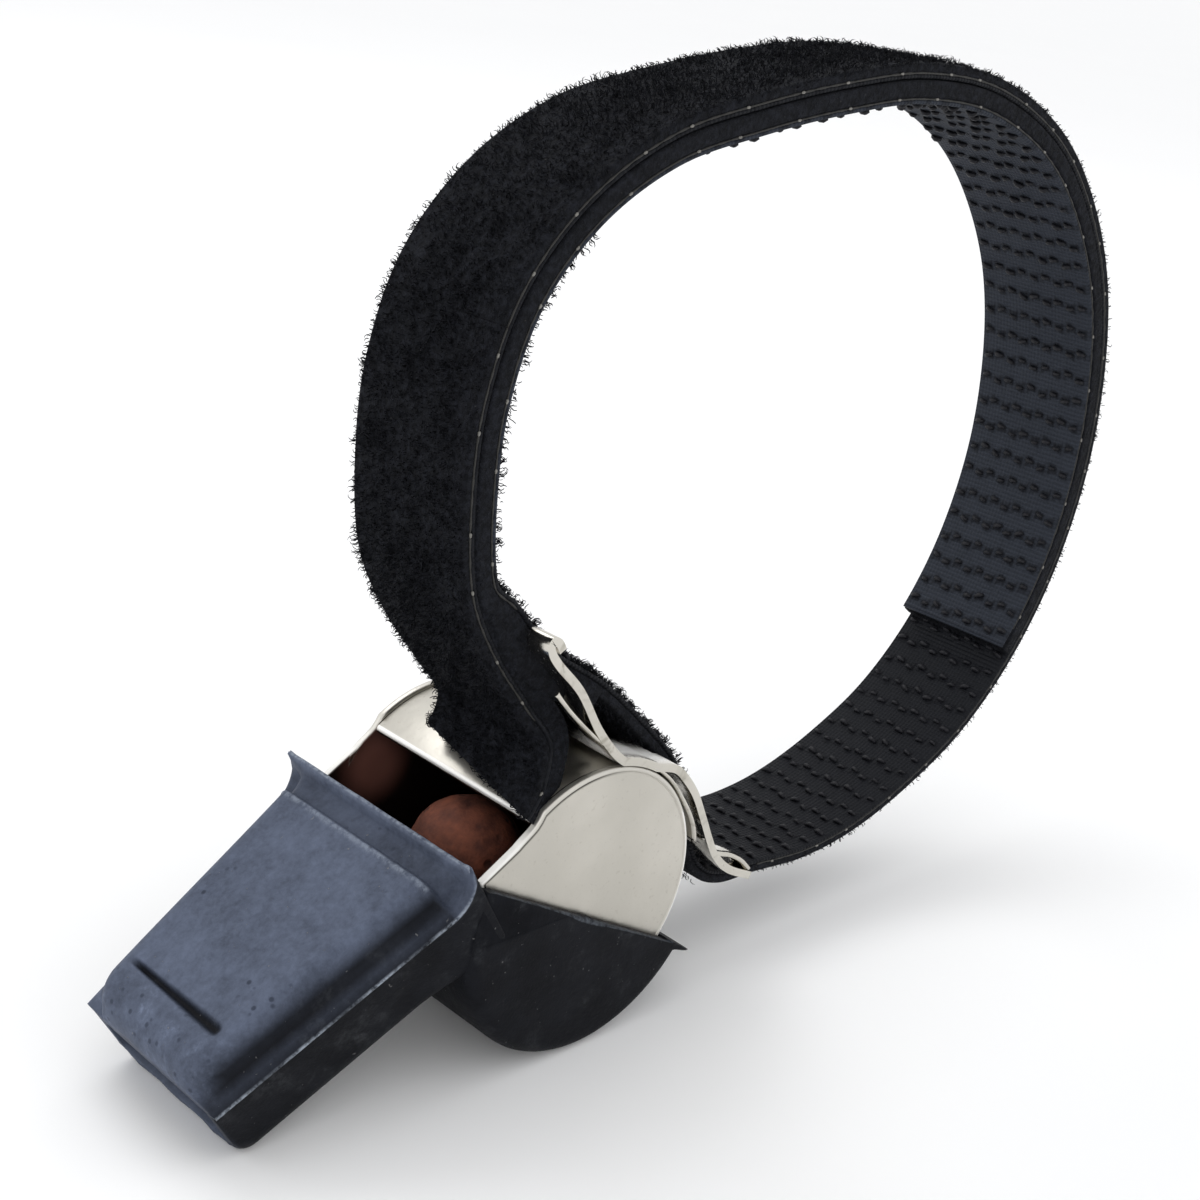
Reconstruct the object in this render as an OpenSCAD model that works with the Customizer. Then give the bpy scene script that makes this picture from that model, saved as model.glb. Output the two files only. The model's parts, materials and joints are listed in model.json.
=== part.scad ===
// Pea whistle of plated sheet metal with a moulded rubber cover, a spring clip on the
// back of the barrel and a hook-and-loop wrist strap threaded through the clip.
// The whistle frame has its origin on the barrel axis: x runs to the mouthpiece, y along
// the barrel axis, z to the sound window. place() pitches it down until the cup and the
// tip of the cover stand on the floor, as the whistle rests on a table.

/* [Barrel] */
// Outside diameter of the barrel
barrel_d = 23; // [21:0.5:25]
// Width of the barrel over both side plates
barrel_w = 21.3; // [20:0.1:23]
// Thickness of the metal sheet
sheet_t = 0.7; // [0.5:0.05:0.9]
// Angle of the window's rear edge above the mouthpiece direction
window_deg = 76; // [72:1:80]
// How far the side plates stand out past the barrel band
plate_lip = 0.25; // [0.1:0.05:0.4]

/* [Mouthpiece] */
// Barrel axis to the tip of the metal mouthpiece
mouth_reach = 33.5; // [30:0.5:37]
// Outside height of the metal mouthpiece
mouth_h = 5; // [4.6:0.1:5.6]
// Drop of the mouthpiece roof's root below the top of the barrel
roof_drop = 1.5; // [1.2:0.1:1.8]
// Downward slope of the mouthpiece
mouth_slope = 5.5; // [4:0.5:7]
// Inward taper of each mouthpiece side
mouth_taper = 6; // [4:0.5:7]
// Height of the air slot at the window
slot_h = 1.3; // [1:0.1:1.6]
// Distance of the roof's rear edge behind the front of the barrel
roof_inset = 1.1; // [0.7:0.1:1.4]

/* [Pea] */
// Diameter of the cork pea
pea_d = 10; // [8:0.5:11]
// Clearance between the pea and the barrel wall
pea_gap = 0.4; // [0.2:0.1:0.8]
// Place of the pea round the barrel axis
pea_deg = 38; // [0:1:360]
// Offset of the pea towards the near side plate
pea_side = 0.7; // [-2:0.1:2]

/* [Rubber cover] */
// Wall of the cup round the barrel
cup_t = 2.5; // [2:0.1:3]
// Wall of the cup over each side plate
cup_side_t = 1; // [0.8:0.1:1.4]
// Play between the rubber and the metal
cover_gap = 0.05; // [0.02:0.01:0.1]
// Direction of the cup's middle below the mouthpiece direction
cup_deg = -36; // [-42:1:-30]
// Distance of the cup's straight rim from the barrel axis
cup_rim = 1.5; // [0.5:0.1:3]
// Wall over the mouthpiece roof
cover_top_t = 3.2; // [2.6:0.1:3.6]
// Wall under the mouthpiece floor
cover_floor_t = 2; // [1.6:0.1:2.4]
// Wall beside the mouthpiece
cover_side_t = 1.3; // [1:0.1:1.6]
// How far the cover reaches past the metal tip
cover_front = 1.6; // [1:0.1:2.2]
// Draw of the top edge in from the widest line
cover_draw = 1.9; // [1.4:0.1:2.4]
// Corner radius of the cover's long edges
cover_r = 1.5; // [1:0.1:1.8]
// Thickness of the flared rear lip
lip_t = 1.1; // [0.8:0.1:1.4]
// Rise of the rear lip over the cover's top
lip_rise = 0.4; // [0.2:0.1:0.8]
// Length of the bite groove
groove_len = 12; // [9:0.5:13]
// Width of the bite groove
groove_w = 1; // [0.8:0.1:1.4]
// Depth of the bite groove
groove_deep = 0.7; // [0.4:0.1:1]
// Distance of the bite groove from the front of the cover
groove_back = 4; // [3:0.5:6]

/* [Clip] */
// Thickness of the clip's spring sheet
clip_t = 0.8; // [0.6:0.05:0.9]
// Play between the clip and the rims of the side plates
clip_play = 0.05; // [0.03:0.01:0.1]
// First angle of the clip's seat round the barrel
seat_from_deg = 126; // [122:1:130]
// Last angle of the clip's seat round the barrel
seat_to_deg = 154; // [150:1:158]
// Play of the strap between the clip's rails
rail_play = 0.7; // [0.5:0.1:1]
// Rise of the upper prongs over the top of the barrel
prong_rise = 15.7; // [12:0.1:17]
// Drop of the flared lower bar below the bottom of the barrel
bar_drop = 1.7; // [1.2:0.1:2.4]
// Height of the closed lower bar
bar_h = 3.4; // [2.4:0.2:4]

/* [Strap] */
// Height of the closed strap loop
loop_h = 80; // [76:1:90]
// Width of the tape with its stitched edges
tape_w = 13; // [12:0.5:13.5]
// Offset of the tape towards the near side plate
tape_side = 1; // [0:0.1:1.2]
// Thickness of the loop tape with its pile
pile_t = 1; // [0.8:0.05:1.1]
// Thickness of the hook tape with its hooks
hook_t = 0.8; // [0.6:0.05:0.9]
// Play between the two turns of tape
turn_gap = 0.3; // [0.2:0.05:0.5]
// Width of the stitching on each tape edge
stitch_w = 0.3; // [0.2:0.05:0.4]
// Height of the stitching on the tape edge
stitch_h = 0.5; // [0.3:0.05:0.7]
// Rise over the barrel at which the closing tab starts
tab_rise = 22.5; // [21.5:0.5:24.5]

/* [Hidden] */
$fn = 96;
barrel_r = barrel_d / 2;
half_w = barrel_w / 2;
bore_r = barrel_r - sheet_t;
cut = 0.5 * sheet_t;
reach = barrel_d + loop_h;

// mouthpiece frame: x down the slope, z square to the roof, origin at the roof's root
roof_start = barrel_r - roof_inset;
roof_rise = barrel_r - roof_drop;
roof_len = (mouth_reach - roof_start) / cos(mouth_slope);
floor_z = -mouth_h;
cheek_start = barrel_r * sin(45);
function half_at(x) = half_w - (x + roof_start - cheek_start) * tan(mouth_taper);

// rubber cover, in the mouthpiece frame
cup_r = barrel_r + cup_t;
cover_top = cover_top_t;
cover_low = floor_z - cover_floor_t;
cover_end = roof_len + cover_front;
cover_rear = 2 * lip_t;
ridge_z = -sheet_t;
tip_r = cover_r;
tip_x = cover_end - tip_r - cut;
tip_z = cover_low + tip_r;

// place of a point of the mouthpiece frame in the whistle frame
function mouth_pt(p) = [
    roof_start + p[0] * cos(mouth_slope) + p[1] * sin(mouth_slope),
    roof_rise - p[0] * sin(mouth_slope) + p[1] * cos(mouth_slope)
];

// resting pitch: the floor touches the cup and the cover's rounded lower tip
tip_pt = mouth_pt([tip_x, tip_z]);
pitch = atan2(tip_pt[1], tip_pt[0]) + asin((cup_r - tip_r) / norm(tip_pt));
function pitched_x(p) = p[0] * cos(pitch) + p[1] * sin(pitch);

// strap: base line between hook tape and loop tape. The loop is in shares of its height,
// measured from the clip's slot, and what lies near the barrel in shares of its radius
turn_pitch = pile_t + hook_t + turn_gap;
slot_share = [-1.235, -0.261];
start_share = [-1.823, -1.475];
loop_share = [
    [-0.168, -0.224], [-0.258, -0.255], [-0.363, -0.268], [-0.473, -0.263], [-0.583, -0.225],
    [-0.685, -0.153], [-0.768, -0.048], [-0.818, 0.078], [-0.833, 0.208], [-0.808, 0.338],
    [-0.753, 0.448], [-0.658, 0.548], [-0.543, 0.618], [-0.423, 0.663], [-0.303, 0.698],
    [-0.183, 0.724], [-0.068, 0.716], [0.028, 0.673], [0.096, 0.598], [0.138, 0.513],
    [0.164, 0.428], [0.168, 0.348]
];
tail_share = [[-0.139, 1.635], [-0.170, 1.300], [0.070, 1.105]];
upper_dive_share = [[0.134, 0.383], [0.112, 0.31]];
lower_dive_share = [
    [-0.807, 1.308], [-1.057, 0.737], [-1.238, 0.209], [-1.259, -0.209],
    [-1.197, -0.661], [-1.238, -0.988], [-1.433, -1.252]
];
slot_at = slot_share * barrel_r;
loop_pts = concat([start_share * barrel_r], [for (s = loop_share) slot_at + s * loop_h]);
dive_pts = concat([for (s = upper_dive_share) slot_at + s * loop_h],
    [for (s = lower_dive_share) s * barrel_r]);
tail_pts = [for (s = tail_share) s * barrel_r];
steps = 4;

function knot(a, b, c, d, t) = 0.5 * (2 * b + (c - a) * t + (2 * a - 5 * b + 4 * c - d) * t * t
    + (3 * b - 3 * c + d - a) * t * t * t);
function smooth(p) = let (n = len(p) - 1) concat(
    [for (i = [0 : n - 1], k = [0 : steps - 1])
        knot(p[max(i - 1, 0)], p[i], p[i + 1], p[min(i + 2, n)], k / steps)],
    [p[n]]);
function unit(v) = v / norm(v);
function along(p, i) = unit(p[min(i + 1, len(p) - 1)] - p[max(i - 1, 0)]);
// the travel is clockwise, so a positive offset goes out of the loop
function shifted(p, d) = [for (i = [0 : len(p) - 1]) p[i] + d * [-along(p, i)[1], along(p, i)[0]]];
function part_of(p, a, b) = [for (i = [a : b]) p[i]];
function backwards(p) = [for (i = [len(p) - 1 : -1 : 0]) p[i]];

// outer turn, from under the clip round to the tail, and the inner turn inside it, which
// runs beside the outer one from its table point inner_first to inner_last
outer_turn = smooth(concat(loop_pts, tail_pts));
inner_first = 5;
inner_last = 21;
inner_turn = part_of(shifted(outer_turn, -turn_pitch), inner_first * steps, inner_last * steps);
dive_run = smooth(concat([inner_turn[len(inner_turn) - steps], inner_turn[len(inner_turn) - 1]],
    dive_pts, [loop_pts[0], loop_pts[1]]));
dive = part_of(dive_run, steps + 1, len(dive_run) - steps - 2);
tab_at = max([for (i = [0 : len(outer_turn) - 1]) outer_turn[i][1] > barrel_r + tab_rise ? i : 0]);
strap_line = concat(inner_turn, dive, part_of(outer_turn, 0, tab_at));
tab_play = turn_gap * along(outer_turn, tab_at);
tab_line = concat([outer_turn[tab_at] + tab_play], part_of(outer_turn, tab_at + 1, len(outer_turn) - 1));

// place on the floor, centred under the whole object
front_x = max([for (p = [[cover_end, 0], [tip_x, cover_top - tip_r], [tip_x, tip_z]])
    pitched_x(mouth_pt(p))]);
back_x = min([for (p = shifted(strap_line, pile_t)) pitched_x(p)]);
seat_x = -(front_x + back_x) / 2;

module place() {
    translate([seat_x, 0, cup_r]) rotate([0, pitch, 0]) children();
}

// outline in the x-z plane, carried from y_lo to y_hi
module slab(y_lo, y_hi) {
    translate([0, y_hi, 0]) rotate([90, 0, 0]) linear_extrude(y_hi - y_lo) children();
}

module in_mouth() {
    translate([roof_start, 0, roof_rise]) rotate([0, mouth_slope, 0]) children();
}

// block between the tapering sides of the mouthpiece, drawn in by inset on each side
module between_cheeks(inset, from_x, to_x, low_z, high_z) {
    translate([0, 0, low_z]) linear_extrude(high_z - low_z)
        polygon([[from_x, half_at(from_x) - inset], [from_x, inset - half_at(from_x)],
            [to_x, inset - half_at(to_x)], [to_x, half_at(to_x) - inset]]);
}

// sector of a ring round the barrel axis
module ring_sector(r_in, r_out, from_deg, to_deg, y_lo, y_hi) {
    wedge = [for (k = [0 : steps + 1]) let (a = from_deg + (to_deg - from_deg) * k / (steps + 1))
        3 * r_out * [cos(a), sin(a)]];
    slab(y_lo, y_hi) intersection() {
        difference() {
            circle(r = r_out);
            circle(r = r_in);
        }
        polygon(concat([[0, 0]], wedge));
    }
}

// flat disc with a cheek that runs down one side of the mouthpiece
module side_plate(side) {
    root = cheek_start - roof_start + sheet_t;
    color("silver") place() {
        slab(side > 0 ? half_w - sheet_t : -half_w, side > 0 ? half_w : sheet_t - half_w) {
            circle(r = barrel_r + plate_lip);
            polygon([[0, 0], mouth_pt([root - barrel_r / 3, 0]), mouth_pt([root + cut, 0]),
                mouth_pt([root + cut, floor_z])]);
        }
        difference() {
            in_mouth() intersection() {
                difference() {
                    between_cheeks(0, root, roof_len, floor_z, 0);
                    between_cheeks(sheet_t, root - cut, roof_len + cut, floor_z - cut, cut);
                }
                translate([root - cut, side > 0 ? 0 : -half_w, floor_z])
                    cube([mouth_reach, half_w, mouth_h]);
            }
            slab(-half_w - cut, half_w + cut) circle(r = barrel_r);
        }
    }
}

module near_side_plate() { side_plate(1); }

module far_side_plate() { side_plate(-1); }

// rolled strip: the barrel's curved wall and the floor of the mouthpiece
module barrel_band() {
    // the wall runs into the middle of the mouthpiece floor's sheet
    floor_off = roof_start * sin(mouth_slope) + roof_rise * cos(mouth_slope) + floor_z + sheet_t / 2;
    floor_root = 90 - mouth_slope - acos(floor_off / barrel_r);
    color("silver") place() {
        ring_sector(bore_r, barrel_r, window_deg, 360 + floor_root, sheet_t - half_w, half_w - sheet_t);
        difference() {
            in_mouth() intersection() {
                between_cheeks(sheet_t, -roof_start, roof_len, floor_z, 0);
                translate([-roof_start, -half_w, floor_z])
                    cube([roof_start + roof_len, barrel_w, sheet_t]);
            }
            slab(-half_w, half_w) circle(r = bore_r + cut);
        }
    }
}

module mouthpiece_roof() {
    color("silver") place() in_mouth()
        between_cheeks(sheet_t, 0, roof_len, -sheet_t, 0);
}

// folded plate: narrows the airway to a slot at the window and closes the barrel's front
module windway_plate() {
    ramp_end = roof_len * 0.8;
    top_z = -sheet_t - slot_h;
    low_z = floor_z + sheet_t;
    color("silver") place() in_mouth() intersection() {
        slab(-half_w, half_w) polygon([
            [0, low_z], [0, top_z], [2 * sheet_t, top_z], [ramp_end, low_z],
            [ramp_end - 4 * sheet_t, low_z], [2 * sheet_t, top_z - sheet_t], [sheet_t, top_z - sheet_t],
            [sheet_t, low_z]
        ]);
        between_cheeks(sheet_t, 0, roof_len, floor_z, 0);
    }
}

module cork_pea() {
    orbit = bore_r - pea_gap - pea_d / 2;
    color("sienna") place()
        translate([orbit * cos(pea_deg), pea_side, orbit * sin(pea_deg)]) sphere(d = pea_d);
}

// clip outline: prongs up along the strap, a seat on the barrel and a flared foot
clip_r = barrel_r + plate_lip + clip_play + clip_t / 2;
prong_top = barrel_r + prong_rise;
bar_low = barrel_r + bar_drop;
prong_share = [[-0.220, 1], [-0.290, 0.905], [-0.400, 0.715], [-0.470, 0.550], [-0.545, 0.430]];
foot_share = [[-1.155, -0.06], [-1.175, -0.33], [-1.230, -0.56], [-1.560, -1]];
seat_deg = [for (k = [0 : 2 * steps]) seat_from_deg + (seat_to_deg - seat_from_deg) * k / (2 * steps)];
seat_pts = [for (a = seat_deg) clip_r * [cos(a), sin(a)]];
prong_pts = [for (s = prong_share) [s[0] * barrel_r, s[1] * prong_top]];
foot_pts = [for (s = foot_share) [s[0] * barrel_r, s[1] * bar_low]];
clip_line = concat(smooth(concat(prong_pts, [seat_pts[0]])), part_of(seat_pts, 1, 2 * steps - 1),
    smooth(concat([seat_pts[2 * steps]], foot_pts)));

module strap_clip() {
    clip_half = half_w - tape_side;
    rail_lo = tape_side - tape_w / 2 - rail_play;
    rail_hi = tape_side + tape_w / 2 + rail_play;
    seat_low = clip_r * sin(seat_to_deg) - clip_t;
    color("gainsboro") place() difference() {
        slab(tape_side - clip_half, tape_side + clip_half)
            polygon(concat(shifted(clip_line, clip_t / 2), backwards(shifted(clip_line, -clip_t / 2))));
        translate([-reach, rail_lo, clip_r * sin(seat_from_deg) + clip_t])
            cube([2 * reach, rail_hi - rail_lo, reach]);
        translate([-reach, rail_lo, bar_h - bar_low])
            cube([2 * reach, rail_hi - rail_lo, bar_low - bar_h + seat_low]);
    }
}

module clip_solder() {
    margin = (seat_to_deg - seat_from_deg) / 6;
    solder_half = half_w - tape_side - sheet_t;
    color("darkgray") place() ring_sector(barrel_r, barrel_r + plate_lip, seat_from_deg + margin,
        seat_to_deg - margin, tape_side - solder_half, half_w - sheet_t - clip_play);
}

// half of the cover's cross-section, carried along one tapering side
module cover_side(side, out_y) {
    r = cover_r;
    run = cover_end + cover_rear + cup_r;
    edge = out_y - cover_draw;
    outline = concat(
        [[-out_y, cover_low], [out_y - cover_draw - r, cover_low]],
        [for (a = [-90 : 15 : -15]) [edge - r / 2 + r * cos(a), cover_low + r + r * sin(a)]],
        [[out_y - cover_gap - sheet_t / 2, ridge_z - sheet_t], [out_y, ridge_z]],
        [for (a = [15 : 15 : 90]) [edge - r + r * cos(a), cover_top - r + r * sin(a)]],
        [[-out_y, cover_top]]);
    translate([-cup_r, side * half_at(-cup_r), 0]) rotate([0, 0, -side * mouth_taper])
        translate([0, -side * half_at(-cup_r), 0]) mirror([0, side > 0 ? 0 : 1, 0])
        translate([0, half_at(-cup_r) + cover_side_t - out_y, 0])
        rotate([90, 0, 90]) linear_extrude(run) polygon(outline);
}

module cover_sleeve() {
    r = cover_r;
    profile = concat(
        [[-sheet_t, cover_top]],
        [for (a = [90 : -15 : 15]) [tip_x - r / 2 + r * cos(a), cover_top - r + r * sin(a)]],
        [[cover_end, ridge_z + sheet_t], [cover_end, ridge_z - sheet_t]],
        [[tip_x + tip_r, ridge_z - 2 * sheet_t]],
        [for (a = [0 : -15 : -90]) [tip_x + tip_r * cos(a), tip_z + tip_r * sin(a)]],
        [[-sheet_t, cover_low]]);
    in_mouth() intersection() {
        slab(-barrel_w, barrel_w) polygon(profile);
        cover_side(1, half_w);
        cover_side(-1, half_w);
    }
}

// raised lip round the rear edge of the sleeve
module cover_lip() {
    out_y = half_w + cover_side_t;
    rise = cover_top + lip_rise;
    in_mouth() rotate([90, 0, 90]) translate([0, 0, -sheet_t]) linear_extrude(lip_t)
        polygon([[-out_y + cover_r, rise], [-out_y, rise - cover_r], [-out_y, ridge_z - cover_r],
            [out_y, ridge_z - cover_r], [out_y, rise - cover_r], [out_y - cover_r, rise]]);
}

module rubber_cover() {
    cup_half = half_w + cup_side_t;
    rim_at = [cup_rim, -reach];
    color("dimgray") place() difference() {
        union() {
            intersection() {
                slab(-cup_half, cup_half) circle(r = cup_r);
                rotate([0, -cup_deg, 0]) translate([cup_rim, -cup_half, -cup_r])
                    cube([cup_r, 2 * cup_half, 2 * cup_r]);
            }
            cover_sleeve();
            cover_lip();
        }
        slab(-half_w - cover_gap, half_w + cover_gap) circle(r = barrel_r + plate_lip + cover_gap);
        in_mouth() between_cheeks(-cover_gap, -roof_start, roof_len + cover_gap,
            floor_z - cover_gap, cover_gap);
        in_mouth() between_cheeks(sheet_t, 0, cover_end + cut, floor_z + sheet_t, -sheet_t);
        in_mouth() translate([cover_end - groove_back - groove_w, -groove_len / 2, cover_top - groove_deep])
            cube([groove_w, groove_len, 2 * groove_deep]);
        translate([0, -half_w - cover_gap, 0])
            cube([barrel_r, barrel_w + 2 * cover_gap, reach]);
    }
}

// strip of tape between two offsets of a line
module strip(line, low, high, half) {
    slab(tape_side - half, tape_side + half)
        polygon(concat(shifted(line, low), backwards(shifted(line, high))));
}

module edges(line) {
    for (side = [-1, 1]) {
        edge = tape_side + side * (tape_w - stitch_w) / 2;
        slab(edge - stitch_w / 2, edge + stitch_w / 2)
            polygon(concat(shifted(line, -stitch_h / 2), backwards(shifted(line, stitch_h / 2))));
    }
}

module loop_tape() { color("black") place() strip(strap_line, 0, pile_t, tape_w / 2 - stitch_w); }

module hook_tape() { color("darkslategray") place() strip(strap_line, -hook_t, 0, tape_w / 2 - stitch_w); }

module edge_stitching() { color("dimgray") place() edges(strap_line); }

module tab_loop_tape() { color("black") place() strip(tab_line, 0, pile_t, tape_w / 2 - stitch_w); }

module tab_hook_tape() {
    color("darkslategray") place() strip(tab_line, -hook_t, 0, tape_w / 2 - stitch_w);
}

module tab_stitching() { color("dimgray") place() edges(tab_line); }

near_side_plate();
far_side_plate();
barrel_band();
mouthpiece_roof();
windway_plate();
cork_pea();
strap_clip();
clip_solder();
rubber_cover();
loop_tape();
hook_tape();
edge_stitching();
tab_loop_tape();
tab_hook_tape();
tab_stitching();
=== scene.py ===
"""Pea whistle with a moulded rubber cover and a hook-and-loop wrist strap.

Lengths are in millimetres in the whistle's own frame: origin on the barrel axis, x towards
the mouthpiece, y along the axis, z towards the window. place() carries them to the shared frame
in metres, pitched as the whistle rests on a table."""
import json
import math

import bpy
import numpy as np
from mathutils import Matrix, Vector


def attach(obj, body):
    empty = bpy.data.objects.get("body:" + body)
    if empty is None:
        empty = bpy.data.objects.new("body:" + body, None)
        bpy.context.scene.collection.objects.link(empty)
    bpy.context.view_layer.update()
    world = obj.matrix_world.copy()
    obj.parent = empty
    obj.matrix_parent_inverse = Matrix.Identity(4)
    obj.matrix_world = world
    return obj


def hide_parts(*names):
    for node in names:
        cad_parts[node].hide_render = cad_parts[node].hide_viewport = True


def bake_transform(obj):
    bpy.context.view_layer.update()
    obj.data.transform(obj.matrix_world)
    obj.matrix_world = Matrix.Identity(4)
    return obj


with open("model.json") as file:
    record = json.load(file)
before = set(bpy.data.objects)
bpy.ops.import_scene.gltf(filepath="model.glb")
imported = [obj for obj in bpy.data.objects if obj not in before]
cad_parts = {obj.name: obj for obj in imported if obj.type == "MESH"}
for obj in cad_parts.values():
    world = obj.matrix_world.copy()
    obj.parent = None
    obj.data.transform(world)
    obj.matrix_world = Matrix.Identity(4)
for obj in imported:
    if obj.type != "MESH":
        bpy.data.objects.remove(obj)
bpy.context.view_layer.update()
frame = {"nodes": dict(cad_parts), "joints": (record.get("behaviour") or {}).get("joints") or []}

# Sizes from the part
AXIS = next(j for j in frame["joints"] if j["name"] == "pea_orbit")["pos_m"]
PITCH = math.radians(26.461)
BARREL_R, HALF_W, SHEET, PLATE_LIP = 11.5, 10.65, 0.7, 0.25
ROOF_START, ROOF_RISE, ROOF_LEN, SLOPE = 10.4, 10.0, 23.207, math.radians(5.5)
CHEEK_START, TAPER, MOUTH_H = 8.1317, math.radians(6), 5
PEA_R, PEA_GAP, PEA_SIDE, PEA_TURN = 5, 0.4, 0.7, math.radians(38)
TAPE_SIDE, TAPE_HALF, PILE_T, HOOK_T, TURN_GAP = 1.0, 6.5, 1.0, 0.8, 0.3


def place(p):
    """Whistle frame in mm to shared frame in m: a turn by the pitch, a shift to the axis."""
    p = np.asarray(p, float) / 1000
    x, y, z = p[..., 0], p[..., 1], p[..., 2]
    c, s = math.cos(PITCH), math.sin(PITCH)
    return np.stack([AXIS[0] + x * c + z * s, y, AXIS[2] - x * s + z * c], -1)


def mouth(p):
    """Mouthpiece frame (down the slope, across, square to the roof) to the whistle frame."""
    p = np.asarray(p, float)
    a, y, h = p[..., 0], p[..., 1], p[..., 2]
    c, s = math.cos(SLOPE), math.sin(SLOPE)
    return np.stack([ROOF_START + a * c + h * s, y, ROOF_RISE - a * s + h * c], -1)


def half_at(a):
    """Half width of the metal mouthpiece: it tapers in a straight line."""
    return HALF_W - (a + ROOF_START - CHEEK_START) * math.tan(TAPER)


def ease(low, high, x):
    """Smooth step: 0 at low, 1 at high, whichever of the two is the greater."""
    t = np.clip((x - low) / (high - low), 0, 1)
    return t * t * (3 - 2 * t)


def turned(low, high, count):
    """Angles from low to high in degrees, as radians."""
    return np.radians(np.linspace(low, high, count))


def arc(radius, turn):
    """Points x, z at a radius from the barrel axis."""
    return np.stack([radius * np.cos(turn), radius * np.sin(turn)], -1)


def round_axis(turn, reach, y):
    """Points at a reach from the barrel axis and a place y along it, one for each turn."""
    return np.stack([reach * np.cos(turn), y + 0 * turn, reach * np.sin(turn)], -1)


def along_mouth(at, y, h):
    """Points of the mouthpiece frame at each station, y across and h up."""
    return np.stack([at, y + 0 * at, h + 0 * at], -1)


def unit(vectors):
    """Vectors brought to length 1."""
    return vectors / np.linalg.norm(vectors, axis=-1)[..., None]


def pairs(first, second):
    """Every pair of one number of first and one of second, as two flat arrays."""
    return [k.ravel() for k in np.meshgrid(first, second, indexing="ij")]


# Meshes
def new_mesh(name, points, loops, starts, flat_faces=0):
    """Mesh of points in the whistle frame; loops lists the corners of all faces in turn and
    starts the first corner of each. The last flat_faces faces stay flat, the rest smooth."""
    mesh = bpy.data.meshes.new(name)
    mesh.vertices.add(len(points))
    mesh.vertices.foreach_set("co", place(points).reshape(-1).astype(np.float32))
    mesh.loops.add(len(loops))
    mesh.loops.foreach_set("vertex_index", loops.astype(np.int32))
    mesh.polygons.add(len(starts))
    mesh.polygons.foreach_set("loop_start", starts.astype(np.int32))
    mesh.update(calc_edges=True)
    smooth = np.arange(len(starts)) < len(starts) - flat_faces
    mesh.polygons.foreach_set("use_smooth", smooth)
    return mesh


def linked(name, data):
    """An object with the data, linked to the scene."""
    obj = bpy.data.objects.new(name, data)
    bpy.context.scene.collection.objects.link(obj)
    return obj


def show(mesh):
    """An object with the checked mesh."""
    mesh.validate()
    return linked(mesh.name, mesh)


def grid(name, *sheets, around=True, along=False, caps=True, uv=None):
    """Mesh of one or more n x m sheets of points: the rows of a sheet are joined in turn, around
    joins its last column to its first, along its last row to its first, and caps closes its
    two end rows with a flat face each. uv holds the n x (m + 1) corners of a single sheet."""
    loops, starts, ends, base, corner = [], [], [], 0, 0
    for points in sheets:
        n, m = points.shape[:2]
        i, j = pairs(np.arange(n if along else n - 1), np.arange(m if around else m - 1))
        k, l = (i + 1) % n, (j + 1) % m
        loops.append(np.stack([i * m + j, k * m + j, k * m + l, i * m + l], -1).ravel() + base)
        starts.append(corner + 4 * np.arange(len(i)))
        if caps and not along:
            ends += [np.arange(m) + base, (n - 1) * m + np.arange(m)[::-1] + base]
        corner += 4 * len(i)
        base += n * m
    for end in ends:
        loops.append(end)
        starts.append([corner])
        corner += len(end)
    mesh = new_mesh(name, np.concatenate([p.reshape(-1, 3) for p in sheets]), np.concatenate(loops),
                    np.concatenate(starts), len(ends))
    if uv is not None:
        layer = mesh.uv_layers.new(name="UVMap")
        at = np.zeros((corner, 2), np.float32)
        corners = np.stack([uv[i, j], uv[i + 1, j], uv[i + 1, j + 1], uv[i, j + 1]], 1)
        at[:4 * len(i)] = corners.reshape(-1, 2)
        layer.uv.foreach_set("vector", at.ravel())
    return show(mesh)


def copies(name, points, triangles):
    """One mesh of many copies of a small closed shape; points is copies x points x 3."""
    first = np.arange(len(points)) * points.shape[1]
    loops = (triangles[None] + first[:, None, None]).ravel()
    return show(new_mesh(name, points.reshape(-1, 3), loops, np.arange(0, len(loops), 3)))


def scatter(name, shape, triangles, at, axes):
    """Copies of one shape: each is its place plus the shape's points times its own axes."""
    return copies(name, at[:, None, :] + np.einsum("vk,nkc->nvc", shape, axes), triangles)


def taper_tube(spine, radius, sides):
    """Points and triangles of a tube round a short spine: rings of given radius, the last
    point a tip, the base closed with a fan."""
    way = unit(np.gradient(spine, axis=0))
    across = np.array([0.0, 1.0, 0.0])
    turn = 2 * np.pi * np.arange(sides) / sides
    c, s = np.cos(turn)[:, None], np.sin(turn)[:, None]
    rings = [spine[k] + radius[k] * (c * across + s * np.cross(way[k], across))
             for k in range(len(spine) - 1)]
    points = np.concatenate([*rings, spine[-1:]])
    j = np.arange(sides)
    l = (j + 1) % sides
    top = (len(rings) - 1) * sides
    firsts = range(0, top, sides)
    tris = [np.stack([k + j, k + sides + j, k + sides + l], 1) for k in firsts]
    tris += [np.stack([k + j, k + sides + l, k + l], 1) for k in firsts]
    tris.append(np.stack([top + j, 0 * j + len(points) - 1, top + l], 1))
    tris.append(np.stack([0 * j[1:-1], j[1:-1], l[1:-1]], 1))
    return points, np.concatenate(tris)


def ripple(t, seed, size):
    """Uneven hand-made edge: a sum of four sines of unrelated lengths."""
    waves = (0.9, 2.3, 4.7, 8.9)
    return size * sum(np.sin(w * t + seed * (k + 1.7)) / (k + 1.5) for k, w in enumerate(waves))


def paint(obj, name, values):
    """A number for each of the mesh's first points and 0 for the others, which the finish
    reads by its name."""
    full = np.zeros(len(obj.data.vertices), np.float32)
    full[:values.size] = values.ravel()
    obj.data.attributes.new(name, "FLOAT", "POINT").data.foreach_set("value", full)
    return obj


def dress(obj, finish, nodes):
    """Gives a piece its material, and hides the CAD nodes it stands for."""
    slot, material = finish
    obj.data.materials.append(material)
    if nodes:
        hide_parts(*nodes)


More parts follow.
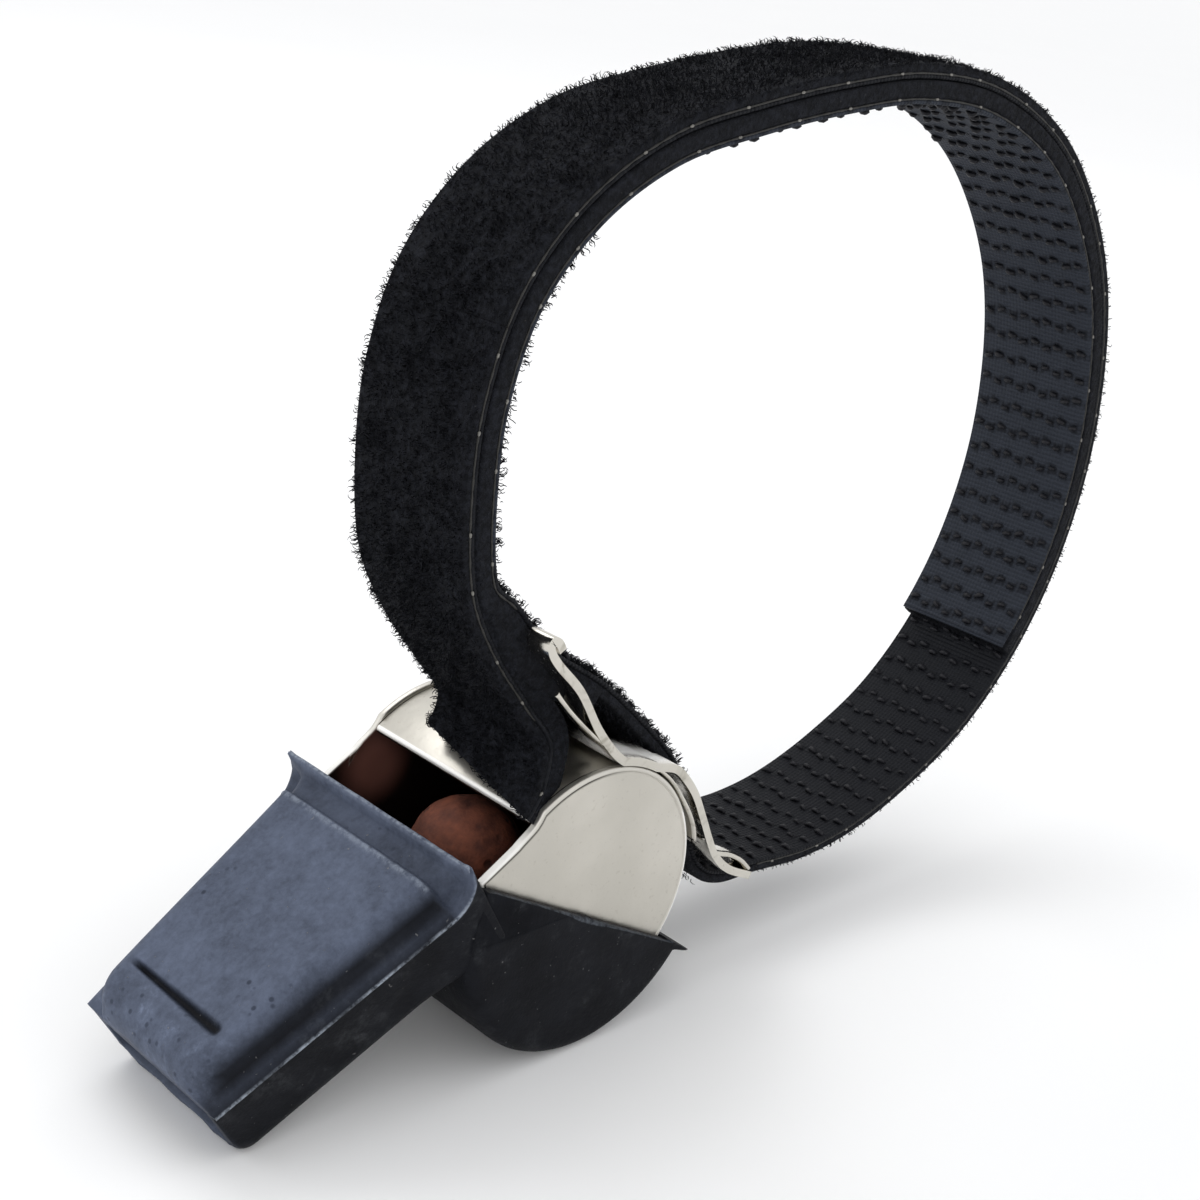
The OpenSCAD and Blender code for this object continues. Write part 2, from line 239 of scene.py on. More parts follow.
def finish_piece(obj, finish, *nodes, body="whistle"):
    """A piece that rides one body."""
    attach(obj, body)
    dress(obj, finish, nodes)


# Shader maths
def math_node(operation, swapped=False):
    """A method of Value that adds a Math node."""
    def method(self, other=0.0):
        first, second = (other, self) if swapped else (self, other)
        return self.finish.node("Math", {0: first, 1: second}, operation=operation)[0]
    return method


class Value:
    """An output socket of a finish; + - * / and ** add a Math node."""

    def __init__(self, finish, socket):
        self.finish, self.socket = finish, socket

    __add__, __radd__ = math_node("ADD"), math_node("ADD", True)
    __sub__, __rsub__ = math_node("SUBTRACT"), math_node("SUBTRACT", True)
    __mul__, __rmul__ = math_node("MULTIPLY"), math_node("MULTIPLY", True)
    __truediv__, __rtruediv__ = math_node("DIVIDE"), math_node("DIVIDE", True)
    __pow__, biggest, size = math_node("POWER"), math_node("MAXIMUM"), math_node("ABSOLUTE")
    wrapped, wave = math_node("FRACT"), math_node("SINE")

    def step(self, low, high):
        """0 below low, 1 above high, smooth between."""
        inputs = {0: self, 1: low, 2: high}
        return self.finish.node("MapRange", inputs, interpolation_type="SMOOTHSTEP")[0]


class Finish:
    """A material of the whistle. node() adds any node and gives its outputs as Values."""

    def __init__(self, name, **constants):
        self.material = bpy.data.materials.new(name)
        self.material.use_nodes = True
        self.tree = self.material.node_tree
        self.tree.nodes.clear()
        self.shader = self.tree.nodes.new("ShaderNodeBsdfPrincipled")
        output = self.tree.nodes.new("ShaderNodeOutputMaterial")
        self.tree.links.new(self.shader.outputs[0], output.inputs["Surface"])
        for key, value in constants.items():
            self.shader.inputs[key.replace("_", " ")].default_value = value
        self.object_at = self.node("TexCoord")[3]

    def feed(self, socket, value):
        """Links a Value to a socket, or sets the socket to a constant."""
        if isinstance(value, Value):
            self.tree.links.new(value.socket, socket)
        else:
            socket.default_value = value

    def node(self, kind, inputs=None, **settings):
        """Adds a node: first its settings, then its inputs by name or number."""
        node = self.tree.nodes.new("ShaderNode" + kind)
        for key, value in settings.items():
            setattr(node, key, value)
        for key, value in (inputs or {}).items():
            self.feed(node.inputs[key], value)
        return [Value(self, out) for out in node.outputs]

    def painted(self, name):
        """The number that paint() gave the mesh's points."""
        return self.node("Attribute", attribute_name=name)[2]

    def parts(self, vector):
        """x, y and z of a vector."""
        return self.node("SeparateXYZ", {0: vector})

    def noise(self, scale, detail=2.0, rough=0.5, at=None, distortion=0.0):
        """Cloudy noise, 0 to 1, at the object's coordinates or at others."""
        return self.node("TexNoise", {"Vector": at or self.object_at, "Scale": scale,
                                      "Detail": detail, "Roughness": rough,
                                      "Distortion": distortion})[0]

    def cells(self, scale):
        """Distance to the nearest of scattered points."""
        return self.node("TexVoronoi", {"Vector": self.object_at, "Scale": scale})[0]

    def stretched(self, scale):
        """Object coordinates with each axis multiplied."""
        return self.node("Mapping", {"Vector": self.object_at, "Scale": scale})[0]

    def blend(self, share, a, b):
        """Colour a to colour b by share."""
        a, b = [(*c, 1) if isinstance(c, tuple) else c for c in (a, b)]
        return self.node("Mix", {0: share, 6: a, 7: b}, data_type="RGBA")[2]

    def bump(self, height, distance):
        """Normal of a surface raised by a height, 1 of which is the distance in metres."""
        return self.node("Bump", {"Height": height, "Distance": distance})[0]

    def wear(self, *values):
        """Gives the shader its colour, then as far as given roughness, normal and metallic."""
        for key, value in zip(("Base Color", "Roughness", "Normal", "Metallic"), values):
            self.feed(self.shader.inputs[key], value)
        return self.material


# Finishes
def nickel(name, reach, seam=1.0, inner=(0.03, 0.022, 0.02), gloss=0.24, shade=1.0,
           tarnish=0.0, dull=0.0):
    """Warm nickel plate: satin with fine specks, near white with a painted highlight where the mesh
    marks an edge. Up to the given reach from the barrel axis, and in front of the barrel between
    the plates, it is the inside in the given colour, which on the plates is a painted reflection of
    the cork pea, turning darker close to the pea; past the seam's distance on the near side, and
    where the mesh says so, it is painted black as the shade in the gap where plate and barrel meet."""
    f = Finish(name, Metallic=1.0)
    cloud = f.noise(90, 4)
    speck = f.noise(2600, 2).step(0.62, 0.75)
    x, y, z = f.parts(f.object_at)
    edge = f.painted("edge_highlight")
    off = ((x - AXIS[0]) ** 2 + (z - AXIS[2]) ** 2) ** 0.5
    fore = x.step(AXIS[0] + 0.0098, AXIS[0] + 0.01) if reach > 0 else 0.0
    between_plates = 1 - y.size().step(0.00996, 0.01008)
    inside = (1 - off.step(reach - 0.0001, reach)).biggest(fore) * between_plates
    # Painted shade: black in the gap where plate and barrel meet.
    joint = y.step(seam, seam + 0.00006).biggest(f.painted("joint"))
    low = tuple(shade * c for c in (0.60, 0.575, 0.515))
    high = tuple(shade * c for c in (0.70, 0.67, 0.605))
    colour = f.blend(cloud.step(0.35, 0.7), low, high)
    colour = f.blend(speck * 0.3, colour, (0.42, 0.39, 0.34))
    stain = f.noise(260, 3, 0.6, distortion=1.0).step(0.5, 0.72) * tarnish
    colour = f.blend(stain, colour, (0.22, 0.20, 0.15))
    # Painted highlight: near white where the mesh marks an edge.
    colour = f.blend(edge, colour, (0.97, 0.96, 0.93))
    # The inside colour: on the plates a painted reflection of the cork pea, darker close to the
    # pea.
    from_pea = ((x - AXIS[0] - 0.007) ** 2 + (z - AXIS[2] - 0.0051) ** 2) ** 0.5
    by_pea = (1 - from_pea.step(0.0012, 0.0046)) * (0.5 + cloud)
    colour = f.blend(inside, colour, f.blend(by_pea, (0.012, 0.007, 0.006), inner))
    colour = f.blend(joint, colour, (0.02, 0.016, 0.014))
    rough = gloss + cloud * 0.14 + speck * 0.15 + edge * 0.3
    return f.wear(colour, rough, f.bump(f.noise(900, 3), 0.00003), 1 - inside.biggest(edge) * dull)


def grained(name, scale, detail, low, high, rough, uneven, height, **constants):
    """A colour running to another by a fine grain, which also raises it and may roughen it."""
    f = Finish(name, **constants)
    grain = f.noise(scale, detail)
    roughness = rough + grain * uneven if uneven else rough
    return f.wear(f.blend(grain, low, high), roughness, f.bump(grain, height))


def cork():
    """Red-brown cork with dark pores."""
    f = Finish("cork")
    grain = f.noise(500, 5, 0.7)
    pore = 1 - f.cells(420).step(0.10, 0.24)
    streak = f.noise(160, 3, 0.6, f.stretched((1, 1, 4))).step(0.35, 0.7)
    mottle = grain.step(0.3, 0.7) * 0.6 + streak * 0.4
    colour = f.blend(mottle, (0.05, 0.013, 0.008), (0.24, 0.07, 0.035))
    colour = f.blend(pore * 0.7, colour, (0.02, 0.008, 0.006))
    return f.wear(colour, 0.7 + grain * 0.2, f.bump(grain - pore, 0.0002))


def rubber():
    """Black rubber with a painted blue-grey sheen, mottled by grime, where the part's mesh marks
    its lit faces, painted highlights on its raised edges, lint, and fine pits and scuffs, most of
    them at the front end."""
    f = Finish("black_rubber", Specular_IOR_Level=0.075)
    bloom = f.noise(170, 6, 0.7)
    patch = f.noise(420, 4, 0.65)
    fine = f.noise(1700, 4, 0.7)
    lint = f.noise(2300, 1).step(0.74, 0.8)
    edge, dust_and_sheen = f.painted("edge_highlight"), f.painted("dust_and_sheen")
    smudge = f.noise(260, 5, 0.65).step(0.5, 0.78)
    # Painted sheen: a blue-grey share on the faces the mesh marks, mottled at random.
    dusty = 0.56 + bloom.step(0.32, 0.68) * 0.26 + patch.step(0.35, 0.65) * 0.14
    dusty = dust_and_sheen * (dusty + (fine - 0.5) * 0.7)
    colour = f.blend(bloom.step(0.3, 0.75), (0.003, 0.0034, 0.005), (0.009, 0.0098, 0.013))
    colour = f.blend(smudge * fine.step(0.35, 0.7) * 0.7, colour, (0.050, 0.053, 0.058))
    colour = f.blend(dusty, colour, (0.112, 0.134, 0.192))
    front = f.parts(f.object_at)[0].step(AXIS[0] + 0.0322, AXIS[0] + 0.0338)
    scuff = front * dust_and_sheen * patch.step(0.48, 0.66) * fine.step(0.45, 0.75) * 0.45
    colour = f.blend(scuff, colour, (0.20, 0.24, 0.34))
    pit = (1 - f.cells(850).step(0.10, 0.24)) * f.noise(140, 2).step(0.52, 0.6).biggest(front * 0.8)
    colour = f.blend(pit * dust_and_sheen * 0.75, colour, (0.02, 0.025, 0.04))
    # Painted highlight on the raised edges the mesh marks.
    colour = f.blend(edge * fine.step(0.3, 0.65), colour, (0.32, 0.36, 0.42))
    colour = f.blend(lint * 0.3, colour, (0.30, 0.30, 0.30))
    return f.wear(colour, 0.46 + bloom * 0.14 + fine * 0.08, f.bump(fine + lint + patch, 0.00006))


def pile():
    """Black loop pile: matted, dusty at the tips."""
    f = Finish("loop_pile", Specular_IOR_Level=0.12)
    tuft = f.noise(1800, 4, 0.7)
    dust_and_sheen = f.noise(3000, 2).step(0.70, 0.8)
    colour = f.blend(tuft.step(0.35, 0.75), (0.0045, 0.005, 0.0068), (0.016, 0.0175, 0.0235))
    colour = f.blend(dust_and_sheen * 0.3, colour, (0.10, 0.095, 0.09))
    return f.wear(colour, 0.85, f.bump(tuft, 0.0006))


def hook_weave(shaded_from):
    """Slate-black woven ground of the hook tape: fine ribs across, painted shade round each hook,
    by turns before and behind the row's line; past the given run it is painted black as shade."""
    f = Finish("hook_weave", Specular_IOR_Level=0.17)
    u, v, _ = f.parts(f.node("TexCoord")[2])
    rib = (u * 14.0).wave() * 0.5 + 0.5
    cord = (v * 16.0).wave() * 0.5 + 0.5
    by_turns = (math.pi * (u / HOOK_PITCH + v / HOOK_STEP)).wave()
    row = ((u - by_turns * HOOK_SHIFT) / HOOK_PITCH).wrapped() - 0.5
    column = (v / HOOK_STEP + 0.5).wrapped() - 0.5
    fuzz = f.noise(2500, 3)
    soil = f.noise(300, 3)
    # Painted shade round each hook.
    hole_shade = 1 - (row.size() + (fuzz - 0.5) * 0.14).step(0.1, 0.25)
    hole_shade = hole_shade * (1 - column.size().step(0.28, 0.46) * 0.7)
    mottle = rib * 0.3 + fuzz * 0.5 + soil * 0.3
    colour = f.blend(mottle, (0.011, 0.013, 0.018), (0.034, 0.040, 0.054))
    # Painted shade: black past the given run.
    colour = f.blend(u.step(shaded_from, shaded_from + 1.5) * 0.8, colour, (0.004, 0.004, 0.005))
    colour = f.blend(hole_shade * 0.75, colour, (0.003, 0.0035, 0.006))
    return f.wear(colour, 0.62 + fuzz * 0.2, f.bump(rib * 0.5 + cord * 0.3 - hole_shade, 0.00015))


# Spacing of the hooks along and across the tape, and how far they lie off their row
HOOK_PITCH, HOOK_STEP, HOOK_SHIFT = 2.6, 1.4, 0.22

# Each finish is a slot and a material
BAND_NICKEL, PLATE_NICKEL, CLIP_NICKEL = [("nickel_plate", material) for material in (
    nickel("band_nickel", 0.01125, 0.0097, gloss=0.25, shade=0.92),
    # The plates' inside colour is a painted reflection of the red-brown cork pea.
    nickel("plate_nickel", 0.0115, inner=(0.26, 0.11, 0.085), shade=0.86, dull=0.75),
    nickel("clip_nickel", -1.0, gloss=0.08, shade=0.92, tarnish=0.75, dull=0.7))]
CORK, RUBBER, PILE = ("cork", cork()), ("black_rubber", rubber()), ("loop_pile", pile())
NYLON = "hook_weave", grained(
    "hook_nylon", 900, 2, (0.004, 0.004, 0.006), (0.012, 0.012, 0.016), 0.4, 0.2, 0.00005,
    Specular_IOR_Level=0.25)
# The stitch dots are coloured light as a painted glint of clear thread.
THREAD, STITCH_GLINT = [
    ("edge_thread", grained(name, 3000, 3, low, high, rough, 0, 0.0001))
    for name, low, high, rough in
    (("edge_thread", (0.006, 0.0055, 0.005), (0.019, 0.018, 0.015), 0.6),
     ("stitch_glint", (0.10, 0.095, 0.085), (0.26, 0.25, 0.23), 0.5))]
SOLDER = grained("solder", 700, 3, (0.32, 0.31, 0.29), (0.5, 0.48, 0.44), 0.35, 0.25, 0.0002,
                 Metallic=1.0)

for name, material in (("mouthpiece_roof", PLATE_NICKEL[1]), ("windway_plate", PLATE_NICKEL[1]),
                       ("clip_solder", SOLDER)):
    materials = frame["nodes"][name].data.materials
    materials.clear()
    materials.append(material)


# Metal
def plate_outline(turn):
    """Reach of the side plate from the barrel axis at each angle: the disc's radius, or further
    out where the straight root of the mouthpiece's cheek cuts past it."""
    d = arc(1, turn)
    degrees = np.degrees(turn)
    reach = BARREL_R + PLATE_LIP - 0.42 * ease(60, 75, degrees) * (1 - ease(77, 82, degrees))
    root = CHEEK_START - ROOF_START + SHEET
    corners = mouth([[root - BARREL_R / 3, 0, 0], [root + 0.35, 0, 0], [root + 0.35, 0, -MOUTH_H]])
    corners = corners[:, [0, 2]]
    for p, q in zip(corners, corners[1:]):
        w = q - p
        far = (p[0] * w[1] - p[1] * w[0]) / (d[:, 0] * w[1] - d[:, 1] * w[0])
        lo, hi = sorted((math.atan2(p[1], p[0]), math.atan2(q[1], q[0])))
        reach = np.where((turn >= lo) & (turn <= hi), np.maximum(reach, far), reach)
    return reach


def side_plate(name, side):
    """Disc and cheek of one side. The disc's rings shrink the outline towards the middle, and
    its rim turns over in two small quarter rounds; the cheek is a thin tapering bar."""
    turn = np.radians(np.r_[-180:28:3, 28:70:0.75, 70:180:3])
    reach = plate_outline(turn)
    out_y, in_y, r = HALF_W, HALF_W - SHEET, 0.2
    rows = [(0.5, out_y), *((share * (reach - r), out_y) for share in (0.4, 0.8))]
    rows += [(reach - off, out_y - sunk) for off, sunk in
             ((0.62, 0), (0.56, 0), (0.5, 0.1), (0.44, 0.1), (0.38, 0), (0.32, 0))]
    rows += [(reach - r + r * math.cos(a), out_y - r + r * math.sin(a)) for a in turned(90, 0, 5)]
    rows += [(reach - r + r * math.cos(a), in_y + r + r * math.sin(a)) for a in turned(0, -90, 5)]
    rows += [*((share * (reach - r), in_y) for share in (0.97, 0.8, 0.4)), (0.5, in_y)]
    disc = np.stack([round_axis(turn, d, side * y) for d, y in rows])
    at = np.concatenate([[-1.4], np.linspace(0, ROOF_LEN, 12)])
    ring = [(0, -0.1), (-0.1, 0), (0.1 - MOUTH_H, 0), (-MOUTH_H, -0.1),
            (-MOUTH_H, 0.1 - SHEET), (0.1 - MOUTH_H, -SHEET), (-0.1, -SHEET), (0, 0.1 - SHEET)]
    cheek = mouth(np.stack([along_mouth(at, side * (half_at(at) + w), h) for h, w in ring], 1))
    disc, cheek, degrees = disc[:, ::side], cheek[:, ::side], np.degrees(turn)[::side]
    joint, edge_highlight = np.zeros((2, *disc.shape[:2]))
    # Painted shade: black in the groove by the rim, where plate and barrel meet, on the part of the
    # rim from about 28 to 135 degrees.
    along = ease(28, 40, degrees) * (1 - ease(105, 135, degrees))
    joint[4:8] = along * np.array([0.4, 1, 1, 0.4])[:, None]
    # Painted highlight on the rim's rounds, brighter below 60 degrees.
    edge_highlight[9:16] = 0.15 + 0.65 * (1 - ease(60, 80, degrees))
    obj = grid(name, disc, cheek)
    paint(obj, "joint", joint)
    return paint(obj, "edge_highlight", edge_highlight)


def band():
    """Barrel wall and mouthpiece floor: a thin rounded cross-section carried round the axis from
    the window's edge, which is rounded over, and a tapering bar for the floor."""
    start, stop, n = math.radians(76), math.radians(360 + 27.7), 150
    half_t, mid_r, half_y, r = SHEET / 2, BARREL_R - SHEET / 2, HALF_W - SHEET - 0.02, 0.16
    over = turned(82, 0, 7)
    rounded = start + 0.035 * (1 - np.sin(over))
    angles = np.concatenate([rounded, np.linspace(start + 0.045, stop, n)])
    top = np.concatenate([half_t * (1.4 * np.cos(over) - 0.4), np.full(n, half_t)])
    points = []
    for sr, sy, first in ((1, 1, 90), (-1, 1, 0), (-1, -1, -90), (1, -1, 180)):
        for a in np.radians([first, first - 45, first - 90]):
            dr = r * math.sin(a) - sr * r
            rr = mid_r + (top + dr * np.clip(top / half_t, 0, 1) if sr > 0 else dr - half_t)
            points.append(round_axis(angles, rr, sy * (half_y - r) + r * math.cos(a)))
    wall = np.stack(points, 1)
    at = np.linspace(-0.9, ROOF_LEN, 12)
    ring = ((1, -MOUTH_H), (1, SHEET - MOUTH_H), (-1, SHEET - MOUTH_H), (-1, -MOUTH_H))
    floor = np.stack([along_mouth(at, w * (half_at(at) - SHEET), h) for w, h in ring], 1)
    edge_highlight = np.zeros(wall.shape[:2])
    # Painted highlight along the window's rounded edge.
    edge_highlight[:7] = 1
    obj = grid("barrel_wall", wall[::-1], mouth(floor)[::-1])
    return paint(obj, "edge_highlight", edge_highlight[::-1])


for word, side in (("near", 1), ("far", -1)):
    finish_piece(side_plate(f"{word}_plate", side), PLATE_NICKEL, f"{word}_side_plate")
finish_piece(band(), BAND_NICKEL, "barrel_band")


def smooth_line(points, steps):
    """Catmull-Rom curve through the points, steps to a gap."""
    p = np.asarray(points, float)
    n = len(p) - 1
    i = np.repeat(np.arange(n), steps)
    t = np.tile(np.arange(steps) / steps, n)[:, None]
    a, b, c, d = p[np.maximum(i - 1, 0)], p[i], p[i + 1], p[np.minimum(i + 2, n)]
    curve = 0.5 * (2 * b + (c - a) * t + (2 * a - 5 * b + 4 * c - d) * t ** 2
                   + (3 * b - 3 * c + d - a) * t ** 3)
    return np.vstack([curve, p[-1:]])


def out_of(line):
    """Unit direction to the left of the travel at each point of a line."""
    way = unit(np.gradient(line, axis=0))
    return np.stack([-way[:, 1], way[:, 0]], 1)


CLIP_R, CLIP_T, PRONG_TOP, BAR_LOW = BARREL_R + PLATE_LIP + 0.45, 0.8, 27.2, 13.2
# Across the clip: the slots' two ends, then the sheet's two edges
RAIL_LO, RAIL_HI, CLIP_LO, CLIP_HI = -6.2, 8.2, -8.65, 10.65
SADDLE_FROM, SADDLE_TO, LOW_SLOT_FROM = 126, 147, 149


def clip():
    """Spring clip: a sheet along the clip's line, with the strap's slots left open between the
    prongs and under the saddle, thickened and with its edges broken."""
    seat = arc(CLIP_R, turned(SADDLE_FROM, SADDLE_TO, 8))
    prong = np.array([[-0.378, 0.888], [-0.366, 0.922], [-0.322, 0.938], [-0.290, 0.912],
                      [-0.318, 0.850], [-0.425, 0.715], [-0.478, 0.550], [-0.552, 0.430]])
    foot = np.array([[-1.043, 0.379], [-1.110, 0.25], [-1.165, 0.05], [-1.182, -0.20],
                     [-1.190, -0.40], [-1.212, -0.58], [-1.305, -0.78], [-1.500, -1]])
    prong = np.vstack([prong * [BARREL_R, PRONG_TOP], seat[:1]])
    foot = np.vstack([seat[-1:], foot * [BARREL_R, BAR_LOW]])
    line = np.vstack([smooth_line(prong, 5), seat[1:-1], smooth_line(foot, 8)])
    across = np.array([CLIP_LO, CLIP_LO + 1.2, RAIL_LO, -3.0, 1.0, 5.0,
                       RAIL_HI, RAIL_HI + 1.2, CLIP_HI])
    n, m = len(line), len(across)
    i, j = pairs(np.arange(n - 1), np.arange(m - 1))
    z = (line[i, 1] + line[i + 1, 1]) / 2
    in_slot = (across[j] >= RAIL_LO) & (across[j + 1] <= RAIL_HI)
    saddle_top = CLIP_R * math.sin(math.radians(SADDLE_FROM)) + CLIP_T
    saddle_low = CLIP_R * math.sin(math.radians(LOW_SLOT_FROM)) - CLIP_T
    keep = ~(in_slot & ((z > saddle_top) | ((z < saddle_low) & (z > 3.4 - BAR_LOW))))
    i, j = i[keep], j[keep]
    loops = np.stack([i * m + j, i * m + j + 1, (i + 1) * m + j + 1, (i + 1) * m + j], -1).ravel()
    points = np.stack([np.repeat(line[:, 0], m), np.tile(across, n), np.repeat(line[:, 1], m)], -1)
    obj = show(new_mesh("spring_clip", points, loops, np.arange(0, len(loops), 4)))
    edge_highlight = np.zeros((n, m))
    # Painted highlight on the rails' edges, between heights of about 5 and 13 mm.
    edge_highlight[:, [1, 2, 6, 7]] = (ease(4, 6, line[:, 1]) * (1 - ease(11.5, 14, line[:, 1])))[:, None]
    paint(obj, "edge_highlight", edge_highlight)
    wall = obj.modifiers.new("sheet", "SOLIDIFY")
    wall.thickness, wall.offset = 0.00074, 0    # metres
    edge = obj.modifiers.new("edges", "BEVEL")
    edge.width, edge.segments, edge.limit_method = 0.00022, 3, "ANGLE"
    return obj


finish_piece(clip(), CLIP_NICKEL, "strap_clip")


def leaf(line, wide, narrow, thick, side):
    """A thin spring leaf beside the clip's sheet: a rounded bar along a line, as wide as given
    at its two ends, on the near or the far rail."""
    way, turn = out_of(line), np.radians(np.arange(22.5, 360, 45))
    widths = np.linspace(wide, narrow, len(line))[:, None]
    mid = (RAIL_HI + CLIP_HI) / 2 if side > 0 else (RAIL_LO + CLIP_LO) / 2
    off = thick / 2 * np.sin(turn) * 1.08
    lift = line[:, None, :] + off[None, :, None] * way[:, None, :]
    y = mid + side * (np.clip(np.cos(turn) * 1.4, -1, 1)[None] * widths / 2)
    return np.stack([lift[..., 0], y + side * (1.2 - widths / 2), lift[..., 1]], -1)[:, ::-1]


def leaves():
    """Pointed tongues in front of the prongs, leaves that hug the plates' rims below the saddle,
    on a slowly widening arc, and the split lower leaves of the feet."""
    tongue = smooth_line([[-6.9, 11.0], [-5.6, 13.2], [-4.55, 15.6], [-3.5, 18.4],
                          [-2.75, 20.9]], 6)
    split = smooth_line([[-13.45, -4.8], [-14.05, -7.3], [-15.7, -9.2], [-16.8, -10.9],
                         [-17.4, -12.5]], 6)
    round_rim = turned(149, 199, 22)
    hug = arc(12.1 + 0.75 * ease(170, 199, np.degrees(round_rim)), round_rim)
    shapes = ((hug, 2.3, 1.6, 0.45), (tongue, 2.3, 0.25, 0.45), (split, 2.4, 2.2, 0.62))
    return grid("clip_leaves", *[leaf(*shape, side) for side in (1, -1) for shape in shapes])


finish_piece(leaves(), CLIP_NICKEL)


def pea():
    """Cork ball: latitude and longitude rings with shallow dents from a sum of sines."""
    lat, lon = turned(-86, 86, 40), turned(0, 351, 40)
    la, lo = np.meshgrid(lat, lon, indexing="ij")
    d = np.stack([np.cos(la) * np.cos(lo), np.cos(la) * np.sin(lo), np.sin(la)], -1)
    waves = ((5, 3, -4), (-7, 6, 5), (9, -8, 7), (-13, 12, 15))
    dent = sum(np.sin(d @ np.array(w) + k) for k, w in enumerate(waves))
    orbit = BARREL_R - SHEET - PEA_GAP - PEA_R
    centre = np.array([orbit * math.cos(PEA_TURN), PEA_SIDE, orbit * math.sin(PEA_TURN)])
    return grid("cork_ball", centre + d * (4.93 + 0.022 * dent)[..., None])


finish_piece(pea(), CORK, "cork_pea", body="pea")


# Rubber cover
def section(at, top, top_half, ridge_half, ridge, low, top_round):
    """One closed ring per station across the mouthpiece: flat top, rounded edge, side running
    out to a thin ridge, lower side drawn in, rounded bottom. Arguments are arrays over the
    stations; the result is stations x points x 3 in the mouthpiece frame."""
    flat, side_low, r = top_half - top_round, top - top_round, 2.1
    columns = [(share * flat, top) for share in (*np.linspace(0, 0.85, 7), 0.9, 0.93, 0.96, 1)]
    columns += [(flat + top_round * np.cos(a), top - top_round * (1 - np.sin(a)))
                for a in turned(78, 0, 8)]
    columns += [(top_half + share * (ridge_half - 0.35 - top_half),
                 side_low + share * (ridge + 0.35 - side_low)) for share in (0.4, 0.8)]
    in_by = 0.1 + 0.75 * ease(1, 8, at)
    columns += [(ridge_half - y, ridge + h) for y, h in
                ((0.34, 0.28), (0.12, 0.2), (0, 0.06), (0.0, -0.06), (0.12 * in_by, -0.2),
                 (0.45 * in_by, -0.3), (0.75 * in_by, -0.6))]
    bottom = ridge_half - in_by - r
    columns += [(bottom + r * np.cos(a), low + r + r * np.sin(a)) for a in turned(0, -90, 8)]
    columns += [(share * bottom, low) for share in (0.75, 0.5, 0.25, 0)]
    half = np.stack([along_mouth(at, y, h) for y, h in columns], 1)
    return np.concatenate([half, half[:, -2:0:-1] * [1, -1, 1]], 1)


# The ridge follows the section's top, rounded edge, side and the ridge's upper points
RIDGE_COLUMN = 11 + 8 + 2 + 3
COVER_GAP, SLEEVE_END, GROOVE_AT = 0.05, 24.8, 20.45


